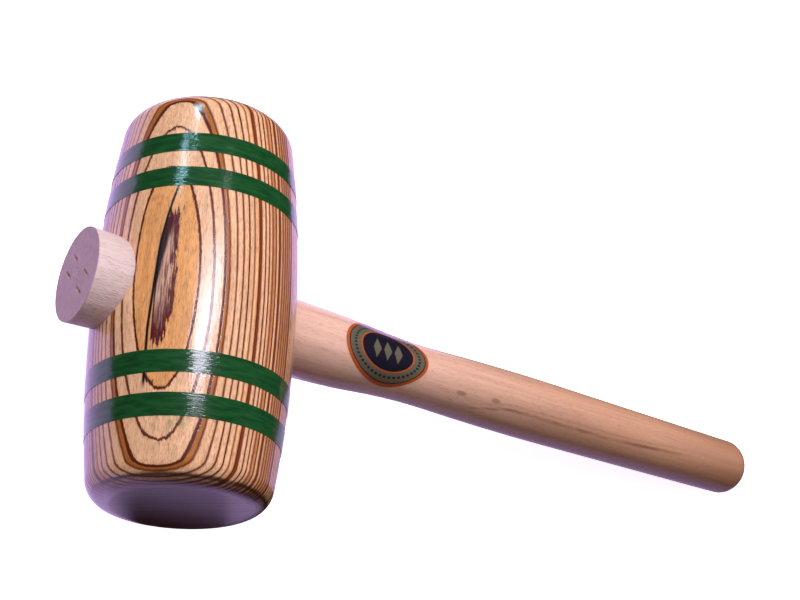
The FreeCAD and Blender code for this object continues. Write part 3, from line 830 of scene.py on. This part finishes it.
# From the navy middle outwards: where each ring begins, with a soft edge, and its colour.
LABEL_RINGS = (
    ((0.615, 0.63), LABEL_RIM),
    ((0.65, 0.665), LABEL_FIELD),
    ((0.905, 0.915), LABEL_NAVY),
    ((0.925, 0.94), LABEL_RIM),
)
DOTS = 44
DOT_RING = 0.785
DOT_PITCH = 0.11
DOT_EDGE = (0.040, 0.028)
LOZENGES = (-0.26, 0.0, 0.26)
LOZENGE_HALF_WIDTH = 0.10
LOZENGE_HALF_HEIGHT = 0.34
LOZENGE_EDGE = (1.05, 0.95)


def label_dots(shader, out, side, ring):
    """How much of a dot covers a place on the label."""
    round_it = shader.times(shader.math("ARCTAN2", side, out), DOTS / math.tau)
    off_dot = shader.swing(shader.math("FRACT", round_it), DOT_PITCH)
    off_ring = shader.subtract(ring, DOT_RING)
    return shader.between(shader.distance(off_dot, off_ring), *DOT_EDGE)


def lozenge(shader, out, side, middle):
    """How much of a small upright diamond covers a place on the label."""
    long_way = shader.math("ABSOLUTE", shader.times(shader.subtract(out, middle), 1 / LOZENGE_HALF_WIDTH))
    wide_way = shader.math("ABSOLUTE", shader.times(side, 1 / LOZENGE_HALF_HEIGHT))
    return shader.between(shader.add(long_way, wide_way), *LOZENGE_EDGE)


def label_print():
    """A plain printed oval: rings, a round of dots and three lozenges in a row. It has no lettering."""
    shader = Shader("printed_label")
    along, aside, _ = handle_place(shader)
    middle = (LABEL_START + LABEL_END) / 2
    half_length = (LABEL_END - LABEL_START) / 2
    out = shader.times(shader.subtract(along, middle), 1 / half_length)
    side = shader.times(aside, 1 / LABEL_HALF_WIDTH)
    ring = shader.distance(out, side)
    tone = LABEL_NAVY
    for edge, ring_tone in LABEL_RINGS:
        tone = shader.blend(shader.between(ring, *edge), tone, ring_tone)
    tone = shader.blend(label_dots(shader, out, side, ring), tone, LABEL_NAVY)
    for place in LOZENGES:
        tone = shader.blend(lozenge(shader, out, side, place), tone, LABEL_FIELD)
    return shader.finish(
        Base_Color=tone,
        Roughness=0.35,
        Coat_Weight=1.0,
        Coat_Roughness=0.1,
    )


# ---------------------------------------------------------------- which node wears what


def wear(names, material):
    """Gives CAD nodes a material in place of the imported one."""
    for name in names:
        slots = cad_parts[name].data.materials
        slots.clear()
        slots.append(material)


def dress_mallet():
    dark_plies = nodes_named("dark_ply_")
    light_plies = [name for name in nodes_named("ply_") if name not in dark_plies]
    wear(light_plies, laminate("light_ply_wood"))
    wear(dark_plies, laminate("dark_ply_wood"))
    wear(nodes_named("_band_"), green_paint())
    wear([HANDLE_NODE], beech())
    wear([LABEL_NODE], label_print())


# ---------------------------------------------------------------- floor and backdrop

BACKDROP_RADIUS = 4.0
FLOOR_DROP = 0.2 * MM
FLOOR_GLOW = 1.0
FAR_FLOOR_GLOW = 0.93
GLOW_FALL_MM = (500, 1800)
BACKDROP_GLOW = 0.9


def glowing_paper(shader, tone, glow):
    """Plain pale matt paper, partly lit from behind."""
    return shader.finish(
        Base_Color=tone,
        Roughness=0.9,
        Specular_IOR_Level=0.0,
        Emission_Color=tone,
        Emission_Strength=glow,
    )


def floor_material():
    """Paper that glows less farther out, so that it meets the dome without a line."""
    shader = Shader("pale_floor")
    place = shader.place_mm((0, 0, 0))
    out = shader.node("ShaderNodeVectorMath", {0: place}, operation="LENGTH").outputs["Value"]
    return glowing_paper(shader, FLOOR_TONE, shader.between(out, *GLOW_FALL_MM, FLOOR_GLOW, FAR_FLOOR_GLOW))


def stage_piece(name, mesh_maker, material):
    """A piece of the studio that the camera sees. The mallet neither mirrors it nor is lit by it."""
    mesh = bpy.data.meshes.new(name)
    shape = bmesh.new()
    mesh_maker(shape)
    shape.to_mesh(mesh)
    shape.free()
    piece = bpy.data.objects.new(name, mesh)
    piece.data.materials.append(material)
    piece.visible_diffuse = False
    piece.visible_glossy = False
    bpy.context.scene.collection.objects.link(piece)
    return piece


def make_floor():
    """A round pale floor that meets a pale dome."""

    def disc(shape):
        bmesh.ops.create_circle(shape, cap_ends=True, radius=BACKDROP_RADIUS, segments=96)

    def dome(shape):
        bmesh.ops.create_uvsphere(shape, u_segments=96, v_segments=48, radius=BACKDROP_RADIUS)

    floor = stage_piece("floor", disc, floor_material())
    floor.location.z = HEAD_LOW.z - FLOOR_DROP
    paper = glowing_paper(Shader("pale_backdrop"), BACKDROP_TONE, BACKDROP_GLOW)
    backdrop = stage_piece("backdrop", dome, paper)
    backdrop.visible_shadow = False


# ---------------------------------------------------------------- lights

LIGHT_HEIGHT = 0.9
CARD_LIFT = 0.5 * MM
WHITE = (1, 1, 1)
SOFTBOX_TINT = (0.97, 0.91, 1.13)
WINDOW_TINT = (0.50, 0.92, 1.10)
CARD_TINT = (0.87, 0.60, 1.20)
MATT_TINT = (1.0, 0.98, 0.99)
AMBIENT_TINT = (1.0, 0.76, 0.66, 1)
AMBIENT_STRENGTH = 0.1

# Panes of light, as shares of their height above the head: left to right, near to far, and the radiance.
SOFTBOX_PANES = [
    ("low_pane", (-0.31, -0.10), (0.12, 0.20), 7.0),
    ("near_pane", (-0.38, -0.09), (0.20, 0.30), 21.0),
    ("middle_pane", (-0.37, 0.07), (0.30, 0.43), 14.5),
    ("far_pane", (-0.14, 0.06), (0.43, 0.54), 14.5),
    ("dim_pane", (-0.38, -0.10), (0.43, 0.56), 5.0),
    ("tube", (0.035, 0.065), (0.43, 0.80), 11.0),
]

# Small windows low behind the head: their turn and height in degrees, their size and radiance.
WINDOWS = [
    ("window", (133, 28), (0.10, 0.07), 20.0),
    ("small_window", (119.3, 28.6), (0.06, 0.055), 60.0),
]

# Cards on the floor, from under the middle of the head, and their radiance: along and beside a heading ...
CARD_HEADING = 44
TURNED_CARDS = [
    ("card_under_head", (-0.05, 0.224), (-0.06, 0.09), 1.2),
    ("card_under_left_end", (-0.151, -0.05), (-0.055, 0.09), 1.2),
    ("card_behind_head", (-0.06, 0.15), (0.09, 0.18), 1.2),
]
# ... and along X and Y, by the left face and under the handle.
SQUARE_CARDS = [
    ("card_by_left_of_face", (-0.12, -0.012), (-0.22, -0.089), 0.95),
    ("card_by_middle_of_face", (-0.012, 0.036), (-0.22, -0.095), 0.75),
    ("card_by_right_of_face", (0.036, 0.078), (-0.22, -0.088), 1.1),
    ("card_by_handle", (0.05, 0.33), (-0.055, -0.028), 0.6),
    ("card_under_handle", (0.05, 0.33), (-0.028, 0.012), 0.6),
]

# Lights that the lacquer doesn't show: turn and height in degrees, distance, width and power.
MATT_LIGHTS = [
    ("key", (125, 64), 0.9, 0.45, 5.5),
    ("left_fill", (100, 50), 1.5, 1.2, 4.6),
    ("stub_side_fill", (185, 50), 1.5, 1.2, 5.5),
    ("handle_side_fill", (20, 27), 1.5, 1.2, 13.5),
]


def direction_at(azimuth, elevation):
    """A direction from its turn about Z, from +X towards +Y, and its height above the horizon, in degrees."""
    turn, rise = math.radians(azimuth), math.radians(elevation)
    return Vector((math.cos(turn) * math.cos(rise), math.sin(turn) * math.cos(rise), math.sin(rise)))


def soft_light(name, place, size, power, tint=WHITE, long_side=(0, 0, 1), target=HEAD_CENTRE):
    """A rectangular soft light that faces a target. Its long side lies as near as it can to a direction."""
    lamp = bpy.data.lights.new(name, "AREA")
    lamp.shape = "RECTANGLE"
    lamp.size, lamp.size_y = size
    lamp.energy = power
    lamp.color = tint
    light = bpy.data.objects.new(name, lamp)
    back = (place - target).normalized()
    side = Vector(long_side).cross(back).normalized()
    turned = Matrix((side, back.cross(side), back)).transposed().to_4x4()
    light.matrix_world = Matrix.Translation(place) @ turned
    bpy.context.scene.collection.objects.link(light)
    return light


def mirrored_light(name, place, size, radiance, tint, long_side=(0, 0, 1), target=HEAD_CENTRE):
    """A light of a given radiance that only a gloss shows."""
    light = soft_light(name, place, size, radiance * math.pi * size[0] * size[1], tint, long_side, target)
    light.visible_diffuse = False
    return light


def hang_softbox():
    """Panes side by side above the head, facing straight down."""
    for name, (left, right), (near, far), radiance in SOFTBOX_PANES:
        place = HEAD_CENTRE + LIGHT_HEIGHT * Vector(((left + right) / 2, (near + far) / 2, 1))
        size = (LIGHT_HEIGHT * (right - left), LIGHT_HEIGHT * (far - near))
        mirrored_light(name, place, size, radiance, SOFTBOX_TINT, (0, 1, 0), place - Vector((0, 0, 1)))


def hang_windows():
    for name, (azimuth, elevation), size, radiance in WINDOWS:
        place = HEAD_CENTRE + LIGHT_HEIGHT * direction_at(azimuth, elevation)
        mirrored_light(name, place, size, radiance, WINDOW_TINT)


def lay_card(name, centre, size, heading, radiance):
    """A lilac card that lies on the floor, facing up."""
    place = HEAD_CENTRE + Vector((*centre, CARD_LIFT - HEAD_RADIUS))
    above = place + Vector((0, 0, 1))
    card = mirrored_light(name, place, size, radiance, CARD_TINT, direction_at(heading, 0), above)
    card.visible_camera = False


def lay_cards():
    """Lilac cards side by side on the floor, where the head, its left face and the handle mirror them."""
    turned = direction_at(CARD_HEADING, 0)
    beside = direction_at(CARD_HEADING + 90, 0)
    for name, (start, end), (low, high), radiance in TURNED_CARDS:
        middle = turned * (start + end) / 2 + beside * (low + high) / 2
        lay_card(name, middle.xy, (high - low, end - start), CARD_HEADING, radiance)
    for name, (start, end), (low, high), radiance in SQUARE_CARDS:
        middle = ((start + end) / 2, (low + high) / 2)
        lay_card(name, middle, (high - low, end - start), 0, radiance)


def hang_matt_lights():
    for name, (azimuth, elevation), distance, width, power in MATT_LIGHTS:
        place = HEAD_CENTRE + distance * direction_at(azimuth, elevation)
        light = soft_light(name, place, (width, width), power, MATT_TINT)
        light.visible_glossy = False


def make_world():
    """A dim warm glow from all round, which the lacquer doesn't show."""
    world = bpy.data.worlds.new("studio")
    bpy.context.scene.world = world
    world.use_nodes = True
    world.cycles_visibility.glossy = False
    background = world.node_tree.nodes["Background"]
    background.inputs["Color"].default_value = AMBIENT_TINT
    background.inputs["Strength"].default_value = AMBIENT_STRENGTH
    bpy.context.scene.view_settings.view_transform = "Standard"


def light_studio():
    hang_softbox()
    hang_windows()
    hang_matt_lights()
    lay_cards()
    make_world()


# ---------------------------------------------------------------- camera

# The lens in millimetres, the place from the middle of the head in metres, and the turns in degrees.
CAMERA_LENS = 62.34
CAMERA_FROM_HEAD = Vector((-0.17909, -0.22071, 0.44297))
CAMERA_HEADING = 47.30
CAMERA_DROP = 50.43
CAMERA_ROLL = 55.42


def make_camera():
    """Above the stub, looking down along the handle, and rolled over to the right."""
    data = bpy.data.cameras.new("camera")
    data.lens = CAMERA_LENS
    camera = bpy.data.objects.new("camera", data)
    turned = (
        Matrix.Rotation(math.radians(-CAMERA_HEADING), 4, "Z")
        @ Matrix.Rotation(math.radians(90 - CAMERA_DROP), 4, "X")
        @ Matrix.Rotation(math.radians(CAMERA_ROLL), 4, "Z")
    )
    camera.matrix_world = Matrix.Translation(HEAD_CENTRE + CAMERA_FROM_HEAD) @ turned
    bpy.context.scene.collection.objects.link(camera)
    bpy.context.scene.camera = camera


dress_mallet()
make_floor()
light_studio()
make_camera()
